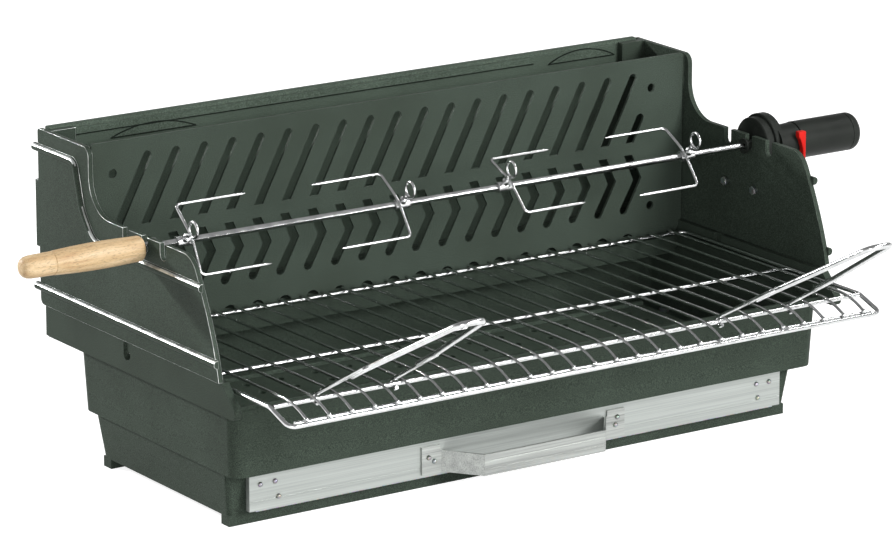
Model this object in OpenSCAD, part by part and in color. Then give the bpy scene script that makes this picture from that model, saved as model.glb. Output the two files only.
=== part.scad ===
// Built-in barbecue: a cast hearth under a wire grill, with an upright fire
// basket behind it, a spit with four forks and a battery motor. The origin is
// the middle of the front foot's underside, +X to the right, +Y to the back.

/* [Body] */
// Distance between the outer faces of the side plates
body_w = 718; // [640:1:800]
// Thickness of a cast side plate
plate_t = 8; // [6:0.5:9]
// Depth from the front foot's middle to the back edge of the side plates
plate_back = 291; // [287:1:300]
// Height of the seam between the side plates and the hearth
seam_z = 154.4; // [153:0.1:156]
// Height of the side plates' top edge
plate_top = 331; // [325:1:345]
// Height of the side plates' lower shelf, where the notches are
shelf_z = 266.5; // [264:0.1:270]
// Depth of the upright edge in front of the slotted panel
step_y = 193.5; // [192:0.5:199]
// Radius of the hollow between that edge and the shelf
hollow_r = 36; // [20:1:40]
// Radius of the shelf's front corner
shelf_r = 25; // [10:1:28]
// Radius of the half-round ribs on the outer faces
rib_r = 4; // [3:0.25:4.75]
// Height of the upper rib's front part
rib_z = 239.5; // [230:0.5:240]
// Height of the lower rib
rib_low_z = 172; // [165:0.5:200]

/* [Hearth] */
// Half width of the tub at its top
tub_x = 345; // [335:1:346]
// Front face of the tub at its top
tub_front = -42; // [-48:1:-39]
// Back face of the tub
tub_rear = 245; // [240:1:260]
// Underside of the tub's top flange
flange_z = 122.4; // [118:0.1:124]
// Thickness of that flange
flange_t = 5; // [4:0.5:7]
// Underside of the tub
tub_z = 57; // [50:1:60]
// Wall thickness of the tub
tub_wall = 5; // [4:0.5:8]
// Radius of the tub's upright corners
tub_r = 13; // [6:1:20]
// How much narrower the tub is at its foot, on each side
tub_draft = 3; // [0:0.5:6]
// Thickness of the side cheeks
cheek_t = 8; // [6:0.5:9]
// How far the cheeks stand back from the side plates' outer faces
cheek_in = 3; // [1:0.5:4]
// Width of the U-slot in each cheek
slot_w = 12; // [9:0.5:16]
// Depth of the U-slot below the seam
slot_d = 20; // [15:0.5:24]
// Distance of the U-slot from the front foot's middle
slot_y = 132; // [100:1:180]

/* [Ash box and drawer] */
// Half width of the ash box at its top
box_x = 335; // [331:1:338]
// Draft of the ash box over its height, on each side
box_draft = 6; // [0:0.5:8]
// Wall thickness of the ash box
box_wall = 4; // [3:0.5:5]
// Underside of the ash box's floor, the height of its feet
foot_h = 9.6; // [6:0.1:14]
// Depth of each foot rail
foot_d = 14; // [10:1:20]
// Half width of the drawer's front
front_x = 314; // [311:1:318]
// Front face of the drawer
front_y = -19.6; // [-24:0.1:-18]
// Lower edge of the drawer's front
front_z = 15.3; // [14.5:0.1:18]
// Height of the drawer's front
front_h = 39; // [30:0.5:40]
// Half width of the drawer's handle over its feet
pull_x = 120; // [90:1:180]
// How far the handle stands out from the drawer
pull_out = 38; // [30:1:60]
// Height of the handle's strip
pull_h = 21.5; // [12:0.5:26]
// Diameter of a rivet head
rivet_d = 5.2; // [4:0.1:6]

/* [Fire panel] */
// Half width of the slotted panel
panel_x = 343.5; // [342:0.5:347]
// Front face of the slotted panel
panel_y = 200; // [199.8:0.1:200.2]
// Thickness of the slotted panel
panel_t = 6; // [5:0.5:6]
// Top edge of the slotted panel
panel_top = 332; // [325:1:345]
// Pitch of the slots
slot_pitch = 32.1; // [31:0.1:33]
// Number of full slots in each row
slot_n = 19; // [12:1:19]
// Width of a slot along the row
slot_cut = 10.5; // [6:0.5:13]
// Lean of the upper slots from upright, in degrees
slot_lean = 27.4; // [20:0.1:30]
// Diameter of the three round holes
hole_d = 9; // [5:0.5:12]
// Width of the arches along the foot
arch_w = 16; // [10:0.5:20]

/* [Grill] */
// Number of lengthwise wires
wire_n = 27; // [21:2:27]
// Pitch of the lengthwise wires
wire_pitch = 25; // [20:0.5:25]
// Diameter of the lengthwise wires
wire_d = 3; // [2:0.1:3.6]
// Diameter of the frame and of the cross rods
frame_d = 4.5; // [3.5:0.1:5]
// Height of the cross rods' axes
rod_z = 146; // [145.9:0.1:147]
// Distance of the front cross rod from the origin
rod_front = -108; // [-112:0.5:-100]
// Distance of the frame's front wire from the origin
frame_front = -132.6; // [-140:0.1:-125]
// Height of the frame's front wire
frame_z = 136; // [132:0.5:142]
// Length of a grill handle from the rod to its tip
handle_l = 226; // [150:1:260]
// Rise of the handles above level, in degrees
handle_a = 29; // [20:0.5:45]
// Spread of a handle's legs at the rod
handle_w = 86; // [82:0.5:87]
// Diameter of the handle's loop wire
loop_d = 6; // [4:0.25:7]
// Diameter of the hook wires
hook_d = 4; // [3:0.25:4.5]

/* [Spit] */
// Width across the flats of the square spit
spit_w = 6; // [5:0.25:7]
// Distance of the spit's axis from the origin
spit_y = 90; // [89.5:0.1:90.5]
// Height of the spit's axis
spit_z = 256; // [255:0.1:257]
// Width of a spit notch
notch_w = 11; // [10:0.1:12]
// Length of the wood grip
grip_l = 130; // [90:1:160]
// Largest diameter of the wood grip
grip_d = 26.4; // [20:0.1:30]
// Diameter of a fork's wire
prong_d = 3.2; // [2:0.1:4]
// Distance of a prong from the spit's axis
prong_r = 37; // [25:1:45]
// Length of a prong
prong_l = 79; // [40:1:79]
// Outer diameter of a fork's collar
collar_d = 13; // [12:0.5:16]
// Length of a fork's collar
collar_l = 16; // [12:0.5:18]

/* [Motor] */
// Diameter of the gearbox's back half
gear_d = 60; // [52:1:64]
// Diameter of the battery tube
tube_d = 39; // [36.5:0.5:46]
// Length of the battery tube
tube_l = 66; // [64:1:90]
// Wall thickness of the battery tube
tube_wall = 2; // [1.5:0.1:2.4]

/* [Hidden] */
$fn = 48;
// Seating gap between parts that are set down on each other
gap = 0.3;
// Radial clearance of parts that turn
fit = 0.06;
half = body_w / 2;
inner = half - plate_t;
cheek_out = half - cheek_in;
cheek_inner = cheek_out - cheek_t;
flange_top = flange_z + flange_t;
rest_z = rod_z - frame_d / 2 - 0.25;
back_y = 280;
back_t = plate_back - 3 - back_y;
sill_z = 144;
groove_z = 140.9;
floor_z = foot_h + box_wall;
floor_in = floor_z + gap;
tray_x = front_x - 8;
side_wire_x = cheek_inner - frame_d / 2 - 1.25;
wire_z = rod_z + frame_d / 2 + wire_d / 2 + 0.2;
hook_r = frame_d / 2 + fit + hook_d / 2;
notch_axis = spit_z;
ferrule_d = notch_w - 2 * fit;
gear_y = spit_y + 10;
gear_z = spit_z - 2;
tube_y = spit_y - 5;
tube_z = spit_z - 1;
gear_x0 = half + 6.6;
tube_x0 = gear_x0 + 40;

black = [0.16, 0.18, 0.17];
soot = [0.10, 0.11, 0.11];
steel = [0.75, 0.76, 0.78];
chrome = [0.85, 0.86, 0.88];
alu = [0.78, 0.80, 0.80];
beech = [0.89, 0.72, 0.47];
plastic = [0.09, 0.09, 0.10];
red = [0.80, 0.06, 0.05];

fork_x = [-317, -70, 51.5, 275];
fork_turn = [38, 47, 57, 51];
fork_way = [1, -1, 1, -1];

// Points of an arc, from angle a to angle b
function arc(c, r, a, b, n = 8) = [for (i = [0:n]) c + r * [cos(a + (b - a) * i / n), sin(a + (b - a) * i / n)]];

// Points of a curve from p to q that is drawn towards m
function curve(p, m, q, n = 8) =
    [for (i = [0:n]) let (t = i / n) (1 - t) * (1 - t) * p + 2 * t * (1 - t) * m + t * t * q];

// Points of a rectangle with round corners
function round_rect(x0, y0, x1, y1, r) = concat(
    arc([x1 - r, y1 - r], r, 0, 90),
    arc([x0 + r, y1 - r], r, 90, 180),
    arc([x0 + r, y0 + r], r, 180, 270),
    arc([x1 - r, y0 + r], r, 270, 360));

// A profile drawn in depth and height, made solid from x0 to x1
module across(x0, x1) {
    translate([x0, 0, 0])
        rotate([90, 0, 90])
            linear_extrude(x1 - x0)
                children();
}

// A round bar from p to q
module bar(p, q, d) {
    v = q - p;
    l = norm(v);
    translate(p)
        rotate([0, acos(v[2] / l), atan2(v[1], v[0])])
            cylinder(d = d, h = l);
}

// Unit vector of v
function unit(v) = v / norm(v);

// Angle that the wire turns at point i
function turn(pts, i) = acos(unit(pts[i] - pts[i - 1]) * unit(pts[i + 1] - pts[i]));

// Length that the bend of radius r takes off the straights at point i
function trim(pts, i, r) = i == 0 || i == len(pts) - 1 ? 0 : r[i - 1] * tan(turn(pts, i) / 2);

// Stations of the bend at point i: places on the axis, with its direction there
function bend(pts, r, i, steps) =
    let (u = unit(pts[i] - pts[i - 1]), w = unit(pts[i + 1] - pts[i]), n = unit(w - (w * u) * u))
    let (c = pts[i] - u * trim(pts, i, r) + n * r[i - 1])
    [for (k = [0:steps]) let (a = turn(pts, i) * k / steps)
        [c + r[i - 1] * (u * sin(a) - n * cos(a)), u * cos(a) + n * sin(a)]];

// Stations along a path through pts that is bent to the radii r at the inner points
function stations(pts, r, steps) = concat(
    [[pts[0], unit(pts[1] - pts[0])]],
    [for (i = [1:1:len(pts) - 2]) each bend(pts, r, i, steps)],
    [[pts[len(pts) - 1], unit(pts[len(pts) - 1] - pts[len(pts) - 2])]]);

// The side vector of each station, carried along the path without twist
function sides(st, side, i = 0) = i == len(st) ? [] :
    let (m = unit(side - (side * st[i][1]) * st[i][1])) concat([m], sides(st, m, i + 1));

// Sweeps a section along a path, the section's x axis starts towards side
module sweep(pts, r, section, side, steps = 4) {
    st = stations(pts, r, steps);
    m = sides(st, side);
    n = len(section);
    k = len(st);
    polyhedron(
        points = [for (i = [0:k - 1]) each [for (q = section) st[i][0] + m[i] * q[0] + cross(st[i][1], m[i]) * q[1]]],
        faces = concat(
            [[for (j = [0:n - 1]) j]],
            [for (i = [0:k - 2]) each [for (j = [0:n - 1]) let (a = i * n + j, b = i * n + (j + 1) % n) each
                [[a, a + n, b + n], [a, b + n, b]]]],
            [[for (j = [n - 1:-1:0]) (k - 1) * n + j]]));
}

// Round wire through pts, bent to the radii r at the inner points
module wire(pts, r, d, side = [0, 0, 1], n = 12, steps = 4) {
    sweep(pts, r, [for (a = [0:n - 1]) d / 2 * [cos(360 * (a + 0.5) / n), sin(360 * (a + 0.5) / n)]], side, steps);
}

// A half-round rib on the outer face of the left plate, its root 1 mm inside it
module rib(path, r) {
    sweep([for (p = path) [-half, p[0], p[1]]], r,
        concat([[-1, -rib_r]], arc([0, 0], rib_r, -90, 90, 8), [[-1, rib_r]]), [-1, 0, 0], 5);
}

// A slot with round ends, from the origin along +Y
module long_slot(w, l) {
    translate([0, w / 2])
        circle(d = w);
    translate([0, l - w / 2])
        circle(d = w);
    translate([-w / 2, w / 2])
        square([w, l - w]);
}

// A box with draft and round corners, x is its half width at the top
module drafted(x, y0, y1, z0, z1, draft, r) {
    hull() {
        translate([0, 0, z1 - 0.01])
            linear_extrude(0.01)
                polygon(round_rect(-x, y0, x, y1, r));
        translate([0, 0, z0])
            linear_extrude(0.01)
                polygon(round_rect(-x + draft, y0 + draft, x - draft, y1 - draft, r));
    }
}

// Hexagon bolt along +Z: its head lies below z = 0, its nut starts at grip
module bolt(d, grip) {
    translate([0, 0, -0.6 * d])
        cylinder(d = 1.9 * d, h = 0.6 * d, $fn = 6);
    cylinder(d = d, h = grip + 0.9 * d);
    translate([0, 0, grip])
        cylinder(d = 1.9 * d, h = 0.7 * d, $fn = 6);
}

module ash_box() {
    color(black)
        difference() {
            union() {
                drafted(box_x, -13, 232, foot_h, tub_z - gap, box_draft, 6);
                for (y = [0, 219])
                    translate([-box_x + box_draft, y - foot_d / 2, 0])
                        cube([2 * (box_x - box_draft), foot_d, foot_h + 1]);
            }
            difference() {
                drafted(box_x - box_wall, -13 + box_wall, 232 - box_wall, floor_z, tub_z + 1, box_draft, 4);
                // Inward rim along the sides that the hearth is bolted to
                for (s = [-1, 1])
                    translate([s * (box_x - 8.5) - 8.5, -20, tub_z - 4.3])
                        cube([17, 260, 10]);
            }
            translate([-tray_x - 3, -30, floor_z])
                cube([2 * tray_x + 6, 40, 36]);
            for (s = [-1, 1], y = [40, 190])
                translate([s * (box_x - 11), y, tub_z - 10])
                    cylinder(d = 6.6, h = 20);
        }
}

// The hearth is one casting: tub, flange, cheeks, sill and bearers
module cheek() {
    difference() {
        across(-cheek_out, -cheek_inner)
            polygon(concat(
                [[-40.6, seam_z], [-62, 133]],
                arc([-57.5, 128.4], 6, 190, 270, 4),
                [[280, flange_z]],
                arc([282, flange_z + 5], 5, 270, 360, 4),
                [[287, seam_z]]));
        translate([-cheek_out - 1, slot_y, seam_z - slot_d + slot_w / 2])
            rotate([0, 90, 0])
                cylinder(d = slot_w, h = cheek_t + 2);
        translate([-cheek_out - 1, slot_y - slot_w / 2, seam_z - slot_d + slot_w / 2])
            cube([cheek_t + 2, slot_w, slot_d]);
    }
    // Bearer that carries the side wire of the grill
    translate([-cheek_inner - 1, -36, flange_z])
        cube([8, 228, rest_z - flange_z]);
}

module hearth() {
    color(black)
        difference() {
            union() {
                drafted(tub_x, tub_front, tub_rear, tub_z, flange_z + 1, tub_draft, tub_r);
                translate([-cheek_out, -40.6, flange_z])
                    cube([2 * cheek_out, 327.6, flange_t]);
            }
            drafted(tub_x - tub_wall, tub_front + tub_wall, tub_rear - tub_wall, tub_z + tub_wall, flange_z + 20,
                tub_draft, tub_r - tub_wall);
            translate([-290, 20, tub_z - 1])
                cube([580, 170, 20]);
            for (s = [-1, 1], y = [40, 190])
                translate([s * (box_x - 11), y, tub_z - 1])
                    cylinder(d = 6.6, h = 20);
            // Scalloped corners at the back, as the cheeks' rear foot is rounded
            translate([-400, 282, flange_z - 1])
                cube([800, 20, 1.6]);
        }
    color(black)
        for (m = [0, 1])
            mirror([m, 0, 0])
                cheek();
    // Sill with a groove that the slotted panel stands in
    color(black)
        difference() {
            translate([-cheek_inner - 1, 193.5, flange_z])
                cube([2 * cheek_inner + 2, 21.5, sill_z - flange_z]);
            translate([-cheek_inner + 1, panel_y - gap, groove_z])
                cube([2 * cheek_inner - 2, panel_t + 2 * gap, 10]);
        }
    // Upstand at the back that the back plate is bolted to
    color(black)
        difference() {
            translate([-cheek_inner - 1, back_y - 7, flange_z])
                cube([2 * cheek_inner + 2, 7 - gap, 152 - flange_z]);
            for (s = [-1, 1])
                translate([s * 334, back_y + 1, 140])
                    rotate([90, 0, 0])
                        cylinder(d = 6.6, h = 12);
        }
}

module hearth_bolts() {
    color(steel)
        for (s = [-1, 1], y = [40, 190])
            translate([s * (box_x - 11), y, tub_z + tub_wall])
                mirror([0, 0, 1])
                    bolt(6, tub_wall + 4.3);
}

module side_plate() {
    difference() {
        union() {
            across(-half, -inner)
                polygon(concat(
                    [[-40.6, seam_z]],
                    arc([plate_back - 6, seam_z + 6], 6, 270, 360, 4),
                    arc([plate_back - 3, plate_top - 3], 3, 0, 90, 4),
                    arc([step_y + 10, plate_top - 10], 10, 90, 180, 6),
                    arc([step_y - hollow_r, shelf_z + hollow_r], hollow_r, 0, -90, 14),
                    arc([20.1, shelf_z - shelf_r], shelf_r, 90, 152, 8),
                    curve([-2, 253.2], [-32.3, 196], [-40.6, seam_z], 10)));
            rib([[plate_back + 6, 312], [218, 312], [206, rib_z + 28.5], [184, rib_z], [-13, rib_z]], [9, 50, 25]);
            rib([[plate_back + 6, rib_low_z], [-39, rib_low_z]], []);
            // Lug behind the back edge
            translate([-half, plate_back - 1, 212])
                cube([plate_t, 7, 67]);
            // Flange that the back plate is bolted to
            translate([-inner - 1, back_y - 8, 160])
                cube([25, 8 - gap, plate_top - 160]);
            // Arm that the slotted panel hangs on
            translate([-inner - 1, panel_y + 8.5, 268])
                cube([28, 6, 12]);
            // Tooth that drops into the cheek's slot
            across(-cheek_out + 2.5, -inner - 1)
                polygon(concat([[slot_y + slot_w / 2 - gap, seam_z + 1], [slot_y - slot_w / 2 + gap, seam_z + 1]],
                    arc([slot_y, seam_z - 8], slot_w / 2 - gap, 180, 360, 8)));
        }
        // The three notches, each with a round floor
        for (y = [spit_y - 33.5, spit_y, spit_y + 35]) {
            translate([-half - 10, y, notch_axis])
                rotate([0, 90, 0])
                    cylinder(d = notch_w, h = 30);
            translate([-half - 10, y - notch_w / 2, notch_axis])
                cube([30, notch_w, 30]);
        }
        for (z = [200, 300])
            translate([-339, back_y + 1, z])
                rotate([90, 0, 0])
                    cylinder(d = 6.6, h = 12);
    }
}

module left_side_plate() {
    color(black)
        side_plate();
}

module right_side_plate() {
    color(black)
        difference() {
            mirror([1, 0, 0])
                side_plate();
            for (y = [spit_y - 14, spit_y + 34])
                translate([inner - 1, y, 212])
                    rotate([0, 90, 0])
                        cylinder(d = 5.4, h = plate_t + 2);
        }
}

module back_plate() {
    color(black)
        difference() {
            union() {
                translate([-inner + gap, back_y, flange_top])
                    cube([2 * (inner - gap), back_t, panel_top - 3 - flange_top]);
                // Rolled rim
                across(-inner + gap, inner - gap)
                    polygon(concat(arc([back_y + 3.3, panel_top - 2], 3, 90, 265, 7),
                        arc([back_y + back_t - 0.6, panel_top - 2], 3, -85, 90, 7)));
                // Raised band and the two arched pads of the casting
                translate([-324, back_y - 1.2, 322])
                    cube([543, 2, 7]);
                translate([-235, back_y + 0.6, 313])
                    rotate([90, 0, 0])
                        linear_extrude(1.7)
                            polygon(arc([0, -114], 123.7, 67, 113, 14));
                translate([280, back_y + 0.6, 321.5])
                    rotate([90, 0, 0])
                        linear_extrude(1.7)
                            polygon(arc([0, -78], 86, 61, 119, 14));
            }
            for (s = [-1, 1]) {
                // Lower corners step in between the cheeks
                translate([s * (inner + cheek_inner - gap) / 2 - (inner - cheek_inner + gap) / 2, back_y - 5, flange_z])
                    cube([inner - cheek_inner + gap, 30, seam_z + gap - flange_z]);
                for (z = [200, 300])
                    translate([s * 339, back_y + 20, z])
                        rotate([90, 0, 0])
                            cylinder(d = 6.6, h = 30);
                translate([s * 334, back_y + 20, 140])
                    rotate([90, 0, 0])
                        cylinder(d = 6.6, h = 30);
            }
        }
}

module back_plate_bolts() {
    color(steel)
        for (s = [-1, 1]) {
            for (z = [200, 300])
                translate([s * 339, back_y + back_t, z])
                    rotate([90, 0, 0])
                        bolt(6, back_t + 8);
            translate([s * 334, back_y + back_t, 140])
                rotate([90, 0, 0])
                    bolt(6, back_t + 7);
        }
}

// One slot that leans to the right: flat below, round at the top
module lean_slot(h) {
    w = slot_cut * cos(slot_lean);
    polygon(concat([[-slot_cut / 2, 0], [slot_cut / 2, 0]],
        arc([h * tan(slot_lean), h], w / 2, -slot_lean, 180 - slot_lean, 8)));
}

// One chevron: flat top, a bend to the right, round foot
module chevron_slot() {
    w = slot_cut * 0.92;
    leg = atan2(17.1, 31);
    polygon(concat([[slot_cut / 2, 0], [-slot_cut / 2, 0], [12 - slot_cut / 2, -27]],
        arc([-5.1, -57.5], w / 2, 180 - leg, 360 - leg, 8),
        [[12 + slot_cut / 2, -26]]));
}

module fire_panel() {
    color(black) {
        difference() {
            translate([0, panel_y + panel_t, 0])
                rotate([90, 0, 0])
                    linear_extrude(panel_t)
                        difference() {
                            polygon([[-panel_x, groove_z + gap], [panel_x, groove_z + gap],
                                [panel_x, panel_top - 2], [panel_x - 2, panel_top],
                                [-panel_x + 2, panel_top], [-panel_x, panel_top - 2]]);
                            for (k = [0:slot_n - 1]) {
                                translate([253.3 - slot_pitch * k, 245.5])
                                    lean_slot(67.5);
                                translate([283 - slot_pitch * k, 232.5])
                                    chevron_slot();
                                translate([283 - slot_pitch * k, groove_z])
                                    polygon(arc([0, 0], arch_w / 2, -15, 195, 12));
                            }
                            translate([284.7, 245])
                                lean_slot(25);
                        }
            for (p = [[-328.3, 300], [311.5, 300], [311.5, 175.5]])
                translate([p[0], panel_y + panel_t + 1, p[1]])
                    rotate([90, 0, 0])
                        cylinder(d = hole_d, h = panel_t + 2);
        }
        // Hooks on the back that hang over the side plates' arms
        for (s = [-1, 1])
            translate([s * 333.5 - 6.5, panel_y + panel_t - 0.5, 0]) {
                translate([0, 0, 280 + gap])
                    cube([13, 14.5, 6]);
                translate([0, 9.3, 272])
                    cube([13, 5.2, 10]);
            }
    }
}

// Half of the charcoal grate, for the right side
module charcoal_half() {
    difference() {
        translate([1, 12, tub_z + tub_wall + gap])
            cube([302, 190, 8]);
        for (k = [0:15])
            translate([16.5 + 18 * k, 24, tub_z])
                linear_extrude(30)
                    long_slot(9, 166);
    }
    // Bars stand up from the grate's edge to hold the coals
    for (y = [12, 198])
        translate([1, y, tub_z + tub_wall + 6])
            cube([302, 4, 6]);
}

module charcoal_grate_left() {
    color(soot)
        mirror([1, 0, 0])
            charcoal_half();
}

module charcoal_grate_right() {
    color(soot)
        charcoal_half();
}

module basket_grate() {
    color(soot)
        difference() {
            translate([-321, panel_y + 15.5, flange_top + gap])
                cube([642, 56.8, 7]);
            for (k = [0:34])
                translate([-306 + 18 * k, panel_y + 23, flange_top - 1])
                    linear_extrude(20)
                        long_slot(8, 42);
        }
}

module drawer_tray() {
    color(alu)
        difference() {
            translate([-tray_x, front_y + 1.5, floor_in])
                cube([2 * tray_x, 232, 30]);
            translate([-tray_x + 1.2, front_y + 2.7, floor_in + 1.2])
                cube([2 * tray_x - 2.4, 229.6, 40]);
            for (p = concat(front_rivets(), handle_rivet_list()))
                translate([p[0], front_y + 4, p[1]])
                    rotate([90, 0, 0])
                        cylinder(d = 3.1, h = 4);
        }
}

function front_rivets() = [[-302, 41], [-285.5, 41.5], [-281.6, 26], [284.2, 41.5], [300.3, 41.5], [286.5, 27]];
function handle_rivet_list() = [[-pull_x + 7.7, 34.3], [-pull_x + 14.2, 29.9], [pull_x - 9.1, 37.4], [pull_x - 11.2, 29.6]];

module drawer_front() {
    color(alu)
        difference() {
            translate([-front_x, front_y, front_z])
                cube([2 * front_x, 6, front_h]);
            // Sheet with its sides folded back
            translate([-front_x + 1.5, front_y + 1.5, front_z - 1])
                cube([2 * front_x - 3, 10, front_h + 2]);
            // Crease along the lower edge
            translate([-front_x - 1, front_y, front_z + 9.5])
                rotate([0, 90, 0])
                    cylinder(d = 0.8, h = 2 * front_x + 2);
            for (p = concat(front_rivets(), handle_rivet_list()))
                translate([p[0], front_y + 4, p[1]])
                    rotate([90, 0, 0])
                        cylinder(d = 3.1, h = 6);
        }
}

// A folded strip: foot, wing, front, wing, foot
module drawer_handle() {
    t = 2;
    wing = pull_x - 49.5;
    foot = pull_x - 23;
    color(alu)
        difference() {
            union() {
                translate([0, 0, 18])
                    linear_extrude(pull_h)
                        polygon([[-pull_x, front_y], [-pull_x, front_y - t], [-foot - 0.8, front_y - t],
                            [-wing - 0.8, front_y - pull_out], [wing + 0.8, front_y - pull_out],
                            [foot + 0.8, front_y - t], [pull_x, front_y - t], [pull_x, front_y],
                            [foot - 0.4, front_y], [wing - 0.4, front_y - pull_out + t],
                            [-wing + 0.4, front_y - pull_out + t], [-foot + 0.4, front_y]]);
                for (s = [-1, 1])
                    translate([s * (pull_x - 10.5) - 10.5, front_y - t, 17.6])
                        cube([21, t, 27.8]);
            }
            for (p = handle_rivet_list())
                translate([p[0], front_y + 1, p[1]])
                    rotate([90, 0, 0])
                        cylinder(d = 3.1, h = 6);
            // Two grooves pressed along the strip
            for (z = [25, 32.5])
                translate([-wing, front_y - pull_out, z])
                    rotate([0, 90, 0])
                        cylinder(d = 1, h = 2 * wing);
        }
}

// Dome rivet with its axis along -Y, the head in front of y = 0
module rivet(grip) {
    difference() {
        sphere(d = rivet_d);
        translate([-5, 0, -5])
            cube([10, 10, 10]);
    }
    rotate([-90, 0, 0])
        cylinder(d = 3, h = grip + 0.2);
    translate([0, grip + 0.1, 0])
        rotate([-90, 0, 0])
            cylinder(d = 4.6, h = 0.9);
}

module drawer_rivets() {
    color(steel)
        for (p = front_rivets())
            translate([p[0], front_y, p[1]])
                rivet(2.7);
}

module handle_rivets() {
    color(steel)
        for (p = handle_rivet_list())
            translate([p[0], front_y - 2, p[1]])
                rivet(4.7);
}

module grill_frame() {
    x = side_wire_x;
    yb = 184;
    color(chrome) {
        // The frame is one wire, butt welded at the back
        difference() {
            wire([[0, yb, rod_z], [-x, yb, rod_z], [-x, rod_front + 4, rod_z], [-x, frame_front + 16, frame_z],
                [-x, frame_front, frame_z], [x, frame_front, frame_z], [x, frame_front + 16, frame_z],
                [x, rod_front + 4, rod_z], [x, yb, rod_z], [0.02, yb, rod_z]],
                [12, 8, 8, 10, 10, 8, 8, 12], frame_d);
        }
        // Second wire along the front
        bar([-x + 12, frame_front + frame_d + 0.8, frame_z + 0.3], [x - 12, frame_front + frame_d + 0.8, frame_z + 0.3], frame_d);
    }
}

module grill_rods() {
    e = side_wire_x - frame_d / 2 - 0.2;
    color(chrome)
        for (y = [10, rod_front])
            bar([-e, y, rod_z], [e, y, rod_z], frame_d);
}

module grill_wires() {
    z_end = frame_z + frame_d / 2 + wire_d / 2 + 0.6;
    color(chrome)
        for (k = [0:wire_n - 1]) {
            x = (k - (wire_n - 1) / 2) * wire_pitch;
            wire([[x, 188, wire_z], [x, rod_front - 4, wire_z], [x, frame_front + 2, z_end]], [5], wire_d, [0, 0, 1], 10, 3);
            // The weld bead at the front
            translate([x, frame_front + 1.5, z_end + 0.4])
                sphere(d = 4.6, $fn = 8);
        }
}

// The handles are drawn level over the rod's axis, pointing forward
handle_k = (handle_w / 2 - 8) / (handle_l - 11);

// Two hook wires, bent round the back of the rod and under it
module hooks() {
    w = handle_w / 2;
    for (m = [0, 1])
        mirror([m, 0, 0])
            wire([[w, -3, -hook_r], [w, hook_r, -hook_r], [w, hook_r, hook_r],
                [w - handle_k * 90, -90, hook_r]], [hook_r - 0.1, hook_r - 0.1], hook_d, [1, 0, 0]);
}

// Hairpin loop, welded beside the inner sides of the hook wires
module loop() {
    far = loop_d / 2 - handle_l;
    beside = handle_w / 2 - handle_k * 90 - (hook_d + loop_d) / 2 - 0.2;
    start = beside + 24 * (beside - 8) / (-far - 90);
    wire([[start, -66, hook_r], [8, far, hook_r], [-8, far, hook_r], [-start, -66, hook_r]], [7.2, 7.2], loop_d,
        [0, 0, 1], 12, 6);
}

module handle_at(x) {
    translate([x, rod_front, rod_z])
        rotate([-handle_a, 0, 0])
            children();
}

module left_handle_hooks() {
    color(chrome)
        handle_at(-252)
            hooks();
}

module left_handle_loop() {
    color(chrome)
        handle_at(-252)
            loop();
}

module right_handle_hooks() {
    color(chrome)
        handle_at(213)
            hooks();
}

module right_handle_loop() {
    color(chrome)
        handle_at(213)
            loop();
}

module spit_rod() {
    color(chrome)
        difference() {
            translate([-half - 104, spit_y - spit_w / 2, spit_z - spit_w / 2])
                cube([2 * half + 104 + 14, spit_w, spit_w]);
            // Chamfers at the driven end
            for (a = [0:90:270])
                translate([half + 14, spit_y, spit_z])
                    rotate([a, 0, 0])
                        translate([-3, -spit_w, spit_w / 2 - 1])
                            rotate([0, 20, 0])
                                cube([12, 2 * spit_w, 6]);
        }
}

module spit_ferrule() {
    color(chrome)
        difference() {
            translate([-half - 4.2, spit_y, spit_z])
                rotate([0, 90, 0]) {
                    cylinder(d = ferrule_d, h = 20);
                    translate([0, 0, 4.2 + plate_t + 1.5])
                        cylinder(d = ferrule_d + 6, h = 2);
                    cylinder(d = ferrule_d + 5, h = 1.7);
                }
            translate([-half - 20, spit_y - spit_w / 2 - 0.05, spit_z - spit_w / 2 - 0.05])
                cube([60, spit_w + 0.1, spit_w + 0.1]);
        }
}

// Turned beech grip, revolved from its profile
module spit_grip() {
    l = grip_l;
    r = grip_d / 2;
    color(beech)
        difference() {
            translate([-half - 4.4, spit_y, spit_z])
                rotate([0, -90, 0])
                    rotate_extrude()
                        polygon(concat([[0, 0], [r - 3.4, 0]],
                            arc([r - 4.2, 2.8], 2.8, -73, 0, 6),
                            curve([r - 1.2, 12], [r + 1.1, l * 0.42], [r - 1.6, l * 0.72], 12),
                            [[r - 1.8, l - 34.4], [r - 2.6, l - 33.6], [r - 1.9, l - 32.8]],
                            curve([r - 1.9, l - 32], [r - 2.2, l - 18], [r - 2.4, l - 9], 4),
                            arc([r - 8.4, l - 6], 6, 10, 90, 8),
                            [[0, l]]));
            translate([-half - 110, spit_y - spit_w / 2 - 0.05, spit_z - spit_w / 2 - 0.05])
                cube([120, spit_w + 0.1, spit_w + 0.1]);
        }
}

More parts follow.
